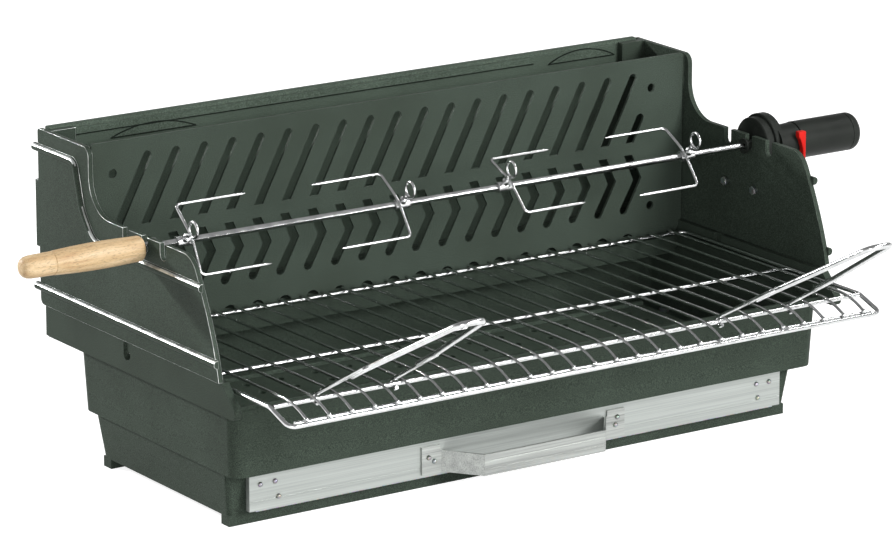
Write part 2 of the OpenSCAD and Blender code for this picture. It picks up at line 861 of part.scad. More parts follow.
// Fork number i: collar, two arms and two prongs
module fork(i) {
    way = fork_way[i];
    color(chrome)
        translate([fork_x[i], spit_y, spit_z])
            rotate([-fork_turn[i], 0, 0])
                difference() {
                    union() {
                        translate([-collar_l / 2, 0, 0])
                            rotate([0, 90, 0])
                                cylinder(d = collar_d, h = collar_l);
                        for (s = [-1, 1]) {
                            translate([0, 0, s * (prong_r - 4)])
                                rotate([90, 0, 0])
                                    rotate([0, 0, way > 0 ? (s > 0 ? 90 : 180) : (s > 0 ? 0 : 270)])
                                        elbow();
                            bar([-way * 4, 0, s * 5], [-way * 4, 0, s * (prong_r - 4)], prong_d);
                            bar([0, 0, s * prong_r], [way * (prong_l - 6), 0, s * prong_r], prong_d);
                            translate([way * (prong_l - 6), 0, s * prong_r])
                                rotate([0, way * 90, 0])
                                    cylinder(d1 = prong_d, d2 = 1, h = 6);
                        }
                        // Boss for the eye screw
                        translate([0, -collar_d / 2 + 1, 0])
                            rotate([90, 0, 0])
                                cylinder(d = 8, h = 3.5);
                    }
                    translate([-collar_l, 0, 0])
                        rotate([fork_turn[i], 0, 0])
                            translate([0, -spit_w / 2 - 0.08, -spit_w / 2 - 0.08])
                                cube([2 * collar_l, spit_w + 0.16, spit_w + 0.16]);
                    rotate([90, 0, 0])
                        cylinder(d = 4.1, h = 20);
                }
}

// Quarter bend of the fork's wire, its centre at the origin
module elbow() {
    rotate_extrude(angle = 90)
        translate([4, 0])
            circle(d = prong_d);
}

// Eye screw of fork number i, its ring stands across the spit
module fork_screw(i) {
    color(chrome)
        translate([fork_x[i], spit_y, spit_z])
            rotate([-fork_turn[i], 0, 0]) {
                translate([0, -spit_w * 0.5 - 2.6, 0])
                    rotate([90, 0, 0])
                        cylinder(d = 4, h = 9.6);
                translate([0, -24.3, 0])
                    rotate([0, 90, 0])
                        rotate_extrude()
                            translate([7.7, 0])
                                circle(d = 2.8);
                translate([0, -collar_d / 2 - 5.4, 0])
                    rotate([90, 0, 0])
                        cylinder(d1 = 5.5, d2 = 3.4, h = 4);
            }
}

module drive_socket() {
    color(plastic)
        difference() {
            translate([inner - 4, spit_y, spit_z])
                rotate([0, 90, 0]) {
                    cylinder(d = ferrule_d, h = plate_t + 22);
                    cylinder(d = ferrule_d + 5, h = 2);
                    translate([0, 0, plate_t + 12])
                        cylinder(d = 20, h = 8);
                }
            translate([inner - 10, spit_y - spit_w / 2 - 0.08, spit_z - spit_w / 2 - 0.08])
                cube([plate_t + 25, spit_w + 0.16, spit_w + 0.16]);
        }
}

module motor_bracket() {
    x0 = half + rib_r + 0.3;
    color(steel)
        difference() {
            union() {
                across(x0, x0 + 2)
                    polygon(round_rect(spit_y - 22, 202, spit_y + 42, 281, 8));
                for (y = [spit_y - 14, spit_y + 34])
                    translate([half, y, 212])
                        rotate([0, 90, 0])
                            cylinder(d = 12, h = rib_r + 1);
            }
            translate([half, spit_y, spit_z])
                rotate([0, 90, 0])
                    cylinder(d = ferrule_d + 2, h = 20);
            for (y = [spit_y - 14, spit_y + 34])
                translate([half - 1, y, 212])
                    rotate([0, 90, 0])
                        cylinder(d = 5.4, h = 20);
        }
}

module bracket_screws() {
    color(steel)
        for (y = [spit_y - 14, spit_y + 34])
            translate([inner, y, 212])
                rotate([0, 90, 0])
                    bolt(5, plate_t + rib_r + 2.3);
}

module motor_gearbox() {
    color(plastic)
        difference() {
            union() {
                translate([gear_x0, gear_y, gear_z])
                    rotate([0, 90, 0])
                        rotate_extrude()
                            polygon([[0, 0], [gear_d / 2 - 4, 0], [gear_d / 2 - 3, 1], [gear_d / 2 - 3, 9],
                                [gear_d / 2, 9.6], [gear_d / 2, 18], [gear_d / 2 - 2, 20], [0, 20]]);
                // Neck towards the battery tube
                translate([gear_x0 + 19, tube_y, tube_z])
                    rotate([0, 90, 0])
                        cylinder(d1 = tube_d + 3, d2 = tube_d - 1, h = tube_x0 - gear_x0 - 19 - gap);
                // Ribs on the round cover
                for (a = [-60:20:60])
                    translate([gear_x0 + 10, gear_y, gear_z])
                        rotate([90 + a, 0, 0])
                            translate([0.4, gear_d / 2 - 0.9, -0.8])
                                cube([7.2, 1.7, 1.6]);
            }
            translate([gear_x0 - 1, spit_y, spit_z])
                rotate([0, 90, 0])
                    cylinder(d = ferrule_d + 0.2, h = 18);
            translate([gear_x0 - 1, spit_y, spit_z])
                rotate([0, 90, 0])
                    cylinder(d = 20.6, h = 12);
            // Guide of the switch
            translate([tube_x0 - 10, tube_y - 24, tube_z - 5])
                cube([7, 12, 22]);
        }
}

module battery_tube() {
    color(plastic)
        difference() {
            union() {
                translate([tube_x0, tube_y, tube_z])
                    rotate([0, 90, 0])
                        cylinder(d = tube_d, h = tube_l);
                for (a = [0:30:330])
                    translate([tube_x0, tube_y, tube_z])
                        rotate([a, 0, 0])
                            translate([0, tube_d / 2 - 0.3, -0.6])
                                cube([6, 0.8, 1.2]);
            }
            translate([tube_x0 + 2, tube_y, tube_z])
                rotate([0, 90, 0])
                    cylinder(d = tube_d - 2 * tube_wall, h = tube_l);
            translate([tube_x0 + tube_l - 6, tube_y, tube_z])
                rotate([0, 90, 0])
                    cylinder(d = tube_d - tube_wall - 0.6, h = 10);
        }
}

module motor_switch() {
    color(red)
        translate([tube_x0 - 9.7, tube_y - 24, tube_z + 2]) {
            cube([6.4, 11.6, 10]);
            translate([0.8, -4, 2])
                cube([4.8, 5, 6]);
        }
}

module battery_cell() {
    color([0.62, 0.60, 0.55])
        translate([tube_x0 + 2.3, tube_y, tube_z])
            rotate([0, 90, 0]) {
                cylinder(d = 33, h = 57);
                cylinder(d = 9, h = 58.5);
            }
}

module battery_cap() {
    color(plastic)
        translate([tube_x0 + tube_l + gap, tube_y, tube_z])
            rotate([0, 90, 0])
                rotate_extrude()
                    polygon(concat([[0, -1], [tube_d / 2 - 5, -1], [tube_d / 2 - 5, -5],
                        [tube_d / 2 - tube_wall / 2 - 0.4, -5], [tube_d / 2 - tube_wall / 2 - 0.4, 0], [tube_d / 2, 0]],
                        arc([tube_d / 2 - 7, 3], 7, 0, 90, 8),
                        [[0, 11]]));
}

ash_box();
hearth();
hearth_bolts();
left_side_plate();
right_side_plate();
back_plate();
back_plate_bolts();
fire_panel();
charcoal_grate_left();
charcoal_grate_right();
basket_grate();
drawer_tray();
drawer_front();
drawer_handle();
drawer_rivets();
handle_rivets();
grill_frame();
grill_rods();
grill_wires();
left_handle_hooks();
left_handle_loop();
right_handle_hooks();
right_handle_loop();
spit_rod();
spit_ferrule();
spit_grip();
fork(0);  // spit_fork_a
fork(1);  // spit_fork_b
fork(2);  // spit_fork_c
fork(3);  // spit_fork_d
fork_screw(0);  // fork_screw_a
fork_screw(1);  // fork_screw_b
fork_screw(2);  // fork_screw_c
fork_screw(3);  // fork_screw_d
drive_socket();
motor_bracket();
bracket_screws();
motor_gearbox();
battery_tube();
motor_switch();
battery_cell();
battery_cap();
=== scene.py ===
import math

import bpy
from mathutils import Matrix, Vector


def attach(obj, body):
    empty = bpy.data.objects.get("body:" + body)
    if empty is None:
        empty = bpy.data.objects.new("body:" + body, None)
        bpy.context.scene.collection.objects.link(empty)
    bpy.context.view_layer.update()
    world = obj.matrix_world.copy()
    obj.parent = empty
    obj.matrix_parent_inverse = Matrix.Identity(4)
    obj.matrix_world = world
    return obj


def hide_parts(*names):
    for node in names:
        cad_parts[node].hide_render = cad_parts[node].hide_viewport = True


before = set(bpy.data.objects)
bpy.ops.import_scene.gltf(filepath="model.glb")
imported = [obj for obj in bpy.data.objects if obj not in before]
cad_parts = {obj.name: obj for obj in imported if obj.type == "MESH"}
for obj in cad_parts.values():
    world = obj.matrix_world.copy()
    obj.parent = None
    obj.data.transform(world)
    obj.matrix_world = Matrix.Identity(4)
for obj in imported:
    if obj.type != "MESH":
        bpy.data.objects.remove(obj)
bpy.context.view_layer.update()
bpy.ops.object.select_all(action="DESELECT")

# ---------------------------------------------------------------- camera
# A long lens from the front left, a little above the barbecue, as in the
# photograph. It has no shift and no depth of field.
camera_place = (-2.720, -3.913, 1.507)
camera_aim = (0.5397, 0.7989, -0.2656)
lens_length, film_width = 205.6, 36
bpy.ops.object.camera_add(location=camera_place)
camera = bpy.context.object
camera.rotation_euler = Vector(camera_aim).to_track_quat("-Z", "Y").to_euler()
camera.data.lens = lens_length
camera.data.sensor_width = film_width
bpy.context.scene.camera = camera


# ---------------------------------------------------------------- floor and backdrop
# The barbecue stands on a pale sheet that reads as white behind it and keeps
# a soft shadow at its foot.
def shader(finish, kind, **sockets):
    """A node in a finish: each socket gets a value, or is joined to another node's output."""
    node = finish.node_tree.nodes.new(kind)
    for name, value in sockets.items():
        socket = node.inputs[name.replace("_", " ")]
        if isinstance(value, bpy.types.NodeSocket):
            finish.node_tree.links.new(value, socket)
        else:
            socket.default_value = value
    return node


def arithmetic(finish, operation, a, b):
    """A Math node, joined to a and b."""
    node = finish.node_tree.nodes.new("ShaderNodeMath")
    node.operation = operation
    for socket, value in zip(node.inputs, (a, b)):
        if isinstance(value, bpy.types.NodeSocket):
            finish.node_tree.links.new(value, socket)
        else:
            socket.default_value = value
    return node.outputs[0]


def sees_background(finish):
    """1 for rays from the camera, from gloss and through glass, and 0 for the light on the object."""
    path = shader(finish, "ShaderNodeLightPath").outputs
    gloss = arithmetic(finish, "MAXIMUM", path["Is Glossy Ray"], path["Is Transmission Ray"])
    return arithmetic(finish, "MAXIMUM", path["Is Camera Ray"], gloss)


floor_width = 44
paper_grey, paper_glow = 0.55, 0.84
bpy.ops.mesh.primitive_plane_add(size=floor_width, location=(0, 0, 0))
floor = bpy.context.object
floor.name = "studio_floor"
paper = bpy.data.materials.new("white_paper")
paper.use_nodes = True
paper_shader = paper.node_tree.nodes["Principled BSDF"]
paper_shader.inputs["Base Color"].default_value = (paper_grey, paper_grey, paper_grey, 1)
paper_shader.inputs["Roughness"].default_value = 0.9
paper_shader.inputs["Specular IOR Level"].default_value = 0.1
paper_shader.inputs["Emission Color"].default_value = (1, 1, 1, 1)
paper.node_tree.links.new(
    arithmetic(paper, "MULTIPLY", sees_background(paper), paper_glow),
    paper_shader.inputs["Emission Strength"],
)
floor.data.materials.append(paper)

# The backdrop is a white sheet bent right round the floor. The camera and the
# chrome see it white, and the dim studio above it is left plain.
sheet_radius, sheet_height = 21, 7.2
room_light = 0.30
bpy.ops.mesh.primitive_cylinder_add(
    vertices=96, radius=sheet_radius, depth=sheet_height, end_fill_type="NOTHING",
    location=(0, 0, sheet_height / 2),
)
sheet = bpy.context.object
sheet.name = "studio_backdrop"
sheet_paper = bpy.data.materials.new("white_backdrop")
sheet_paper.use_nodes = True
sheet_shader = sheet_paper.node_tree.nodes["Principled BSDF"]
sheet_shader.inputs["Base Color"].default_value = (0, 0, 0, 1)
sheet_shader.inputs["Specular IOR Level"].default_value = 0
sheet_shader.inputs["Emission Color"].default_value = (1, 1, 1, 1)
sheet_glow = arithmetic(sheet_paper, "MULTIPLY", sees_background(sheet_paper), 1 - room_light)
sheet_paper.node_tree.links.new(
    arithmetic(sheet_paper, "ADD", sheet_glow, room_light), sheet_shader.inputs["Emission Strength"]
)
sheet.data.materials.append(sheet_paper)

world = bpy.data.worlds.new("studio")
world.use_nodes = True
bpy.context.scene.world = world
backdrop = world.node_tree.nodes["Background"]
backdrop.inputs["Color"].default_value = (1, 1, 1, 1)
backdrop.inputs["Strength"].default_value = room_light

# ---------------------------------------------------------------- studio lamps
# A large soft lamp in front on the right and a fill on the left, a small
# hard one behind on the left that catches edges and bends, and a long strip
# over the right side whose reflection runs along the rods.
for name, place, target, width, height, watts in (
    ("front_lamp", (1.3, -3.3, 1.6), (0, 0, 0.15), 1.5, 1.0, 124),
    ("fill_lamp", (-1.9, -3.0, 0.9), (0, 0, 0.2), 1.2, 1.0, 48),
    ("back_lamp", (-1.9, 2.46, 1.3), (0, 0, 0.22), 0.3, 0.2, 88),
    ("rod_strip", (1.75, -0.93, 2.5), (0, 0.05, 0.25), 2.4, 0.14, 26),
):
    bpy.ops.object.light_add(type="AREA", location=place)
    light = bpy.context.object
    light.name = name
    light.rotation_euler = (Vector(target) - Vector(place)).to_track_quat("-Z", "Y").to_euler()
    light.data.shape = "RECTANGLE"
    light.data.size = width
    light.data.size_y = height
    light.data.energy = watts


# ---------------------------------------------------------------- castings
# Hearth, ash box, side plates, back plate and slotted panel are sand-cast
# iron with a heat-proof grey-green coat. Their edges are fettled round.
def noise(finish, place, scale, detail=2.0, stretch=(1, 1, 1)):
    """Noise over the piece, drawn out along its axes by stretch."""
    if stretch != (1, 1, 1):
        mapping = shader(finish, "ShaderNodeMapping", Vector=place, Scale=stretch)
        place = mapping.outputs["Vector"]
    texture = shader(finish, "ShaderNodeTexNoise", Vector=place, Scale=scale, Detail=detail)
    return texture.outputs["Fac"]


def shades(finish, factor, *stops):
    """Colours or grey levels along a factor; each stop is (place, value)."""
    ramp = finish.node_tree.nodes.new("ShaderNodeValToRGB")
    finish.node_tree.links.new(factor, ramp.inputs["Fac"])
    elements = ramp.color_ramp.elements
    while len(elements) < len(stops):
        elements.new(0.5)
    for element, (place, value) in zip(elements, stops):
        element.position = place
        element.color = (value, value, value, 1) if isinstance(value, (int, float)) else (*value, 1)
    return ramp.outputs["Color"]


def blend(finish, mode, factor, first, second):
    """Two colours mixed in a blend mode."""
    node = finish.node_tree.nodes.new("ShaderNodeMixRGB")
    node.blend_type = mode
    for socket, value in zip(node.inputs, (factor, first, second)):
        if isinstance(value, bpy.types.NodeSocket):
            finish.node_tree.links.new(value, socket)
        elif isinstance(value, tuple):
            socket.default_value = (*value, 1)
        else:
            socket.default_value = value
    return node.outputs["Color"]


def new_finish(name, metallic=0.0, gloss_level=0.5):
    """An empty finish: the material, its main shader and its object coordinates."""
    finish = bpy.data.materials.new(name)
    finish.use_nodes = True
    main = finish.node_tree.nodes["Principled BSDF"]
    main.inputs["Metallic"].default_value = metallic
    main.inputs["Specular IOR Level"].default_value = gloss_level
    return finish, main, shader(finish, "ShaderNodeTexCoord").outputs["Object"]


def bumps(finish, main, height, strength, depth):
    """Joins a height to the shader's normal."""
    bump = shader(finish, "ShaderNodeBump", Height=height, Strength=strength, Distance=depth)
    finish.node_tree.links.new(bump.outputs["Normal"], main.inputs["Normal"])


def coated_iron(name, low, high, rough_low, rough_high, grain_depth=0.00022):
    """Sprayed coat on cast iron: sand grain, uneven coats and small scuffs."""
    finish, main, place = new_finish(name, gloss_level=0.03)
    sand = noise(finish, place, 1250, 1.0)
    coat = noise(finish, place, 11, 4.0)
    colour = shades(finish, coat, (0.3, low), (0.72, high))
    specks = shades(finish, sand, (0.32, 0.62), (0.5, 1.0), (0.68, 1.55))
    finish.node_tree.links.new(blend(finish, "MULTIPLY", 1.0, colour, specks), main.inputs["Base Color"])
    blotch = noise(finish, place, 60, 3.0)
    rough = shades(finish, blotch, (0.3, rough_low), (0.7, rough_high))
    finish.node_tree.links.new(rough, main.inputs["Roughness"])
    bumps(finish, main, sand, 0.55, grain_depth)
    return finish


def edge_highlight_finish(name, colour, roughness):
    """Rounded edge strip, lighter and shinier than the coat: a painted edge highlight, mottled by noise."""
    finish, main, place = new_finish(name, metallic=0.6)
    highlight_mottle = noise(finish, place, 70, 3.0)
    dark = tuple(0.45 * c for c in colour)
    tint = shades(finish, highlight_mottle, (0.38, dark), (0.55, colour))
    finish.node_tree.links.new(tint, main.inputs["Base Color"])
    main.inputs["Roughness"].default_value = roughness
    return finish


def ease_edges(piece, rounding, edge=None):
    """Rounds a piece's edges by rounding, in mm; edge is a second finish for the rounded strip."""
    if edge:
        piece.data.materials.append(edge)
    piece.data.polygons.foreach_set("use_smooth", [True] * len(piece.data.polygons))
    weld = piece.modifiers.new("weld", "WELD")
    weld.merge_threshold = 0.00001
    if rounding:
        flat = piece.modifiers.new("flat faces", "DECIMATE")
        flat.decimate_type = "DISSOLVE"
        flat.angle_limit = math.radians(0.6)
        bevel = piece.modifiers.new("fettled edges", "BEVEL")
        bevel.width = rounding / 1000
        bevel.segments = 2
        bevel.limit_method = "ANGLE"
        bevel.angle_limit = math.radians(32)
        if edge:
            bevel.material = 1
    weighted = piece.modifiers.new("even light", "WEIGHTED_NORMAL")
    weighted.mode = "FACE_AREA"
    weighted.weight = 60


def dress(node, finish, rounding=0.0, edge=None):
    """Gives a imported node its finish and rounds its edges."""
    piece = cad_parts[node]
    piece.data.materials.clear()
    piece.data.materials.append(finish)
    ease_edges(piece, rounding, edge)


def dress_new(piece, finish, body, node):
    """Gives a new piece its finish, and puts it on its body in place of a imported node."""
    piece.data.materials.clear()
    piece.data.materials.append(finish)
    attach(piece, body)
    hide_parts(node)


def take(piece):
    """Makes a piece the active one and the only one selected."""
    bpy.ops.object.select_all(action="DESELECT")
    piece.select_set(True)
    bpy.context.view_layer.objects.active = piece


def thin_casting(name, node, axis, face, shift):
    """A copy of a packed casting with one face moved by shift, so its wall is thinner."""
    piece = bpy.data.objects.new(name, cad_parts[node].data.copy())
    bpy.context.collection.objects.link(piece)
    take(piece)
    bpy.ops.object.mode_set(mode="EDIT")
    bpy.ops.mesh.select_all(action="SELECT")
    bpy.ops.mesh.remove_doubles(threshold=0.00001)
    bpy.ops.mesh.select_all(action="DESELECT")
    bpy.ops.mesh.select_mode(type="VERT")
    bpy.ops.object.mode_set(mode="OBJECT")
    for vertex in piece.data.vertices:
        vertex.select = abs(vertex.co[axis] - face) < 0.00002
    bpy.ops.object.mode_set(mode="EDIT")
    move = [0, 0, 0]
    move[axis] = shift
    bpy.ops.transform.translate(value=move)
    bpy.ops.object.mode_set(mode="OBJECT")
    return piece


casting = coated_iron("casting_coat", (0.035, 0.046, 0.036), (0.046, 0.061, 0.048), 0.33, 0.44)
panel_coat = coated_iron("panel_coat", (0.040, 0.052, 0.041), (0.052, 0.068, 0.055), 0.42, 0.54)
# The back plate and the coal plates take a lighter copy of the coat, which paints in light that the lamps
# don't bring to them.
lightened_coat = coated_iron("lightened_coat", (0.056, 0.074, 0.058), (0.074, 0.098, 0.077), 0.42, 0.54)
# The edge finishes are painted highlight: near-white on the left plate, where the edges catch the light, and
# dimmer on the other castings.
bright_edge_highlight = edge_highlight_finish("painted_bright_edge_highlight", (0.74, 0.77, 0.75), 0.3)
dim_edge_highlight = edge_highlight_finish("painted_dim_edge_highlight", (0.12, 0.145, 0.125), 0.4)

dress("hearth", casting, 0.9, dim_edge_highlight)
dress("ash_box", casting, 0.9, dim_edge_highlight)
dress("back_plate", lightened_coat, 0.6, dim_edge_highlight)

# The side plates and the slotted panel are thin castings. Their walls are
# drawn in by 3 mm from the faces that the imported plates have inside.
plate_inside, panel_behind = 0.351, 0.206
thinning = 0.003
rib_crest, upward = 0.3612, 0.35
for side, way, edge in (("left", -1, bright_edge_highlight), ("right", 1, dim_edge_highlight)):
    node = side + "_side_plate"
    plate = thin_casting(side + "_plate_casting", node, 0, way * plate_inside, way * thinning)
    dress_new(plate, casting, "hearth_unit", node)
    ease_edges(plate, 0.7, edge)
    # The upward-facing crests of the ribs outside take the edge finish too, a painted highlight along the
    # ribs.
    for face in plate.data.polygons:
        if way * face.center.x > rib_crest and face.normal.z > upward:
            face.material_index = 1
panel = thin_casting("fire_panel_casting", "fire_panel", 1, panel_behind, -thinning)

# Above the cheeks the panel is wider and comes close to the side plates. Its
# sides there are the vertices from panel_side outwards, in front of its rear.
cheek_top, panel_side, panel_rear, wider = 0.156, 0.3409, 0.2035, 0.008
take(panel)
bpy.ops.object.mode_set(mode="EDIT")
bpy.ops.mesh.select_all(action="SELECT")
bpy.ops.mesh.bisect(plane_co=(0, 0, cheek_top), plane_no=(0, 0, 1))
for way in (-1, 1):
    bpy.ops.mesh.select_all(action="DESELECT")
    bpy.ops.object.mode_set(mode="OBJECT")
    for vertex in panel.data.vertices:
        x, y, z = vertex.co
        vertex.select = way * x > panel_side and z > cheek_top - 0.00001 and y < panel_rear
    bpy.ops.object.mode_set(mode="EDIT")
    bpy.ops.transform.translate(value=(way * wider, 0, 0))
bpy.ops.object.mode_set(mode="OBJECT")
dress_new(panel, panel_coat, "fire_panel", "fire_panel")
ease_edges(panel, 0.5, dim_edge_highlight)

# ---------------------------------------------------------------- grates
# The charcoal lies on two coated iron plates, and the upright fire basket
# stands on a bare cast grate, a little sooty. All three lie loose on seats.
sooty = coated_iron("sooty_iron", (0.018, 0.019, 0.019), (0.034, 0.036, 0.036), 0.62, 0.8, 0.0003)


def block(name, place, size):
    """A block at its place, with its size along X, Y and Z."""
    bpy.ops.object.select_all(action="DESELECT")
    bpy.ops.mesh.primitive_cube_add(size=1, location=place)
    piece = bpy.context.object
    piece.name = name
    piece.scale = size
    bpy.ops.object.transform_apply(location=True, rotation=True, scale=True)
    return piece


def join(first, *others):
    """One piece of several."""
    bpy.ops.object.select_all(action="DESELECT")
    for piece in (first, *others):
        piece.select_set(True)
    bpy.context.view_layer.objects.active = first
    bpy.ops.object.join()
    return first


# Each half of the charcoal grate is a plate with rows of small air holes and
# a low bar along its front and back.
half_length, half_depth, plate_thick = 0.302, 0.190, 0.008
half_x, half_y, half_z = 0.152, 0.107, 0.0663
hole_radius, hole_stretch, first_hole = 0.0032, 1.5, 0.032
hole_columns, hole_pitch_x, hole_rows, hole_pitch_y = 7, 0.040, 6, 0.030
bar_width, bar_rows, bar_middle = 0.004, (0.014, 0.200), 0.0723
for side, way in (("left", -1), ("right", 1)):
    place = (way * half_x, half_y, half_z)
    plate = block(side + "_coal_plate", place, (half_length, half_depth, plate_thick))
    bpy.ops.object.select_all(action="DESELECT")
    bpy.ops.mesh.primitive_cylinder_add(
        vertices=20, radius=hole_radius, depth=0.02, location=(way * first_hole, first_hole, half_z)
    )
    punch = bpy.context.object
    punch.scale = (1, hole_stretch, 1)
    bpy.ops.object.transform_apply(location=True, rotation=True, scale=True)
    along, across = (way * hole_pitch_x, 0, 0), (0, hole_pitch_y, 0)
    for count, step in ((hole_columns, along), (hole_rows, across)):
        repeat = punch.modifiers.new("row", "ARRAY")
        repeat.count = count
        repeat.use_relative_offset = False
        repeat.use_constant_offset = True
        repeat.constant_offset_displace = step
        bpy.ops.object.modifier_apply(modifier="row")
    take(plate)
    holes = plate.modifiers.new("holes", "BOOLEAN")
    holes.operation = "DIFFERENCE"
    holes.object = punch
    bpy.ops.object.modifier_apply(modifier="holes")
    bpy.data.objects.remove(punch)
    bars = [
        block("grate_bar", (way * half_x, y, bar_middle), (half_length, bar_width, bar_width))
        for y in bar_rows
    ]
    join(plate, *bars)
    # The lighter copy of the coat paints light onto the coal plates.
    dress_new(plate, lightened_coat, "grate_" + side, "charcoal_grate_" + side)
    ease_edges(plate, 0.4)
dress("basket_grate", sooty, 0.5)


# ---------------------------------------------------------------- bolts and hanger
# Zinc-plated bolts of the plates and the hearth, and the plate that the motor
# hangs on, with its screws.
def plated_steel(name, colour, roughness):
    """Zinc plating with its faint crystal flecks."""
    finish, main, place = new_finish(name, metallic=1.0)
    crystal = shader(finish, "ShaderNodeTexVoronoi", Vector=place, Scale=420).outputs["Color"]
    cloud = noise(finish, place, 90, 3.0)
    tint = shades(finish, cloud, (0.3, tuple(0.72 * c for c in colour)), (0.7, colour))
    finish.node_tree.links.new(blend(finish, "SOFT_LIGHT", 0.25, tint, crystal), main.inputs["Base Color"])
    finish.node_tree.links.new(
        shades(finish, cloud, (0.3, roughness), (0.7, roughness + 0.14)), main.inputs["Roughness"]
    )
    bumps(finish, main, noise(finish, place, 700, 2.0), 0.2, 0.0001)
    return finish


zinc = plated_steel("zinc_plate", (0.60, 0.61, 0.62), 0.3)
for name in ("hearth_bolts", "back_plate_bolts", "bracket_screws"):
    dress(name, zinc, 0.3)

# The motor hangs on a low plate that stands off the side plate on two bosses.
# Its corners are rounded first, then all its edges are broken.
hanger_place, hanger_size = (0.3643, 0.100, 0.224), (0.002, 0.064, 0.044)
hanger_corner, broken_edge = 0.008, 0.0003
boss_x, boss_rows, boss_z = 0.36115, (0.076, 0.124), 0.212
boss_radius, boss_length = 0.006, 0.0043
hanger = block("motor_hanger", hanger_place, hanger_size)
bpy.ops.object.mode_set(mode="EDIT")
bpy.ops.mesh.select_all(action="DESELECT")
bpy.ops.mesh.select_mode(type="EDGE")
bpy.ops.object.mode_set(mode="OBJECT")
for corner in hanger.data.edges:
    one, two = (hanger.data.vertices[i].co for i in corner.vertices)
    corner.select = abs(one.x - two.x) > 0.001
bpy.ops.object.mode_set(mode="EDIT")
bpy.ops.mesh.bevel(offset=hanger_corner, segments=6)
bpy.ops.mesh.select_all(action="SELECT")
bpy.ops.mesh.bevel(offset=broken_edge, segments=1)
bpy.ops.object.mode_set(mode="OBJECT")
for y in boss_rows:
    bpy.ops.object.select_all(action="DESELECT")
    bpy.ops.mesh.primitive_cylinder_add(
        vertices=40, radius=boss_radius, depth=boss_length, location=(boss_x, y, boss_z),
        rotation=(0, math.pi / 2, 0),
    )
    bpy.ops.object.transform_apply(location=True, rotation=True, scale=True)
    join(hanger, bpy.context.object)
bpy.ops.object.shade_smooth_by_angle(angle=math.radians(32))
dress_new(hanger, zinc, "hearth_unit", "motor_bracket")


# ---------------------------------------------------------------- ash drawer
# Folded tray, front of brushed aluminium riveted to it, and a handle bent
# from a flat strip that is riveted to the front.
def brushed_metal(name, low, high, roughness, streak):
    """Rolled or brushed sheet with fine streaks along its length."""
    finish, main, place = new_finish(name, metallic=0.92)
    fine = noise(finish, place, 1.0, 3.0, streak)
    broad = noise(finish, place, 1.0, 2.0, tuple(s * 0.16 for s in streak))
    fibre = blend(finish, "MIX", 0.4, fine, broad)
    finish.node_tree.links.new(shades(finish, fibre, (0.33, low), (0.66, high)), main.inputs["Base Color"])
    finish.node_tree.links.new(
        shades(finish, fine, (0.3, roughness), (0.7, roughness + 0.12)), main.inputs["Roughness"]
    )
    bumps(finish, main, fine, 0.18, 0.00012)
    return finish


front_sheet = brushed_metal(
    "brushed_aluminium", (0.31, 0.33, 0.315), (0.43, 0.456, 0.438), 0.40, (7, 900, 1500)
)
strip_steel = brushed_metal("rolled_strip", (0.24, 0.25, 0.24), (0.46, 0.48, 0.46), 0.38, (11, 900, 700))
tray_sheet = plated_steel("tray_sheet", (0.42, 0.43, 0.44), 0.4)
rivet_metal = plated_steel("rivet_metal", (0.34, 0.35, 0.35), 0.36)

dress("drawer_tray", tray_sheet, 0.4)
dress("drawer_front", front_sheet, 0.5)
dress("drawer_handle", strip_steel, 0.5)
dress("drawer_rivets", rivet_metal)
dress("handle_rivets", rivet_metal)


# ---------------------------------------------------------------- grill
# Bright chromed wire: a closed ring that is doubled along its front lip, two
# cross rods in it, and the lengthwise wires over them, which are welded on.
def chromed_wire(name, colour, roughness):
    """Chrome over drawn wire, with faint bands from heat and handling."""
    finish, main, place = new_finish(name, metallic=1.0)
    bands = noise(finish, place, 130, 2.0)
    dull = tuple(0.8 * c for c in colour)
    finish.node_tree.links.new(
        shades(finish, bands, (0.3, dull), (0.7, colour)), main.inputs["Base Color"]
    )
    finish.node_tree.links.new(
        shades(finish, bands, (0.3, roughness), (0.7, roughness + 0.1)), main.inputs["Roughness"]
    )
    bumps(finish, main, noise(finish, place, 300, 2.0), 0.04, 0.0001)
    return finish


chrome = chromed_wire("chromed_wire", (0.66, 0.67, 0.67), 0.12)
bright_chrome = chromed_wire("bright_chrome", (0.74, 0.75, 0.75), 0.16)


def bent_wire(name, corners, bends, thickness, points=0.0):
    """Round wire through corners, with a bend radius at each, in mm; points is its tips' length."""
    corners = [Vector(corner) for corner in corners]
    path = [corners[0]]
    for before, corner, after, radius in zip(corners, corners[1:], corners[2:], bends):
        into, out = (corner - before).normalized(), (after - corner).normalized()
        turn = into.angle(out)
        side = (out - into * out.dot(into)).normalized()
        start = corner - into * radius * math.tan(turn / 2)
        for step in range(7):
            angle = turn * step / 6
            path.append(start + radius * (math.sin(angle) * into + (1 - math.cos(angle)) * side))
    path.append(corners[-1])
    if points:
        first, last = (path[1] - path[0]).normalized(), (path[-2] - path[-1]).normalized()
        path[1:1] = [path[0] + first * points]
        path[-1:-1] = [path[-1] + last * points]
    curve = bpy.data.curves.new(name, "CURVE")
    curve.dimensions = "3D"
    curve.bevel_depth = thickness / 2000
    curve.bevel_resolution = 4
    curve.use_fill_caps = True
    spline = curve.splines.new("POLY")
    spline.points.add(len(path) - 1)
    for point, place in zip(spline.points, path):
        point.co = (*(place / 1000), 1)
    if points:
        spline.points[0].radius = spline.points[-1].radius = 0.25
    wire = bpy.data.objects.new(name, curve)
    bpy.context.collection.objects.link(wire)
    take(wire)
    bpy.ops.object.convert(target="MESH")
    wire = bpy.context.object
    bpy.ops.object.shade_smooth_by_angle(angle=math.radians(40))
    return wire


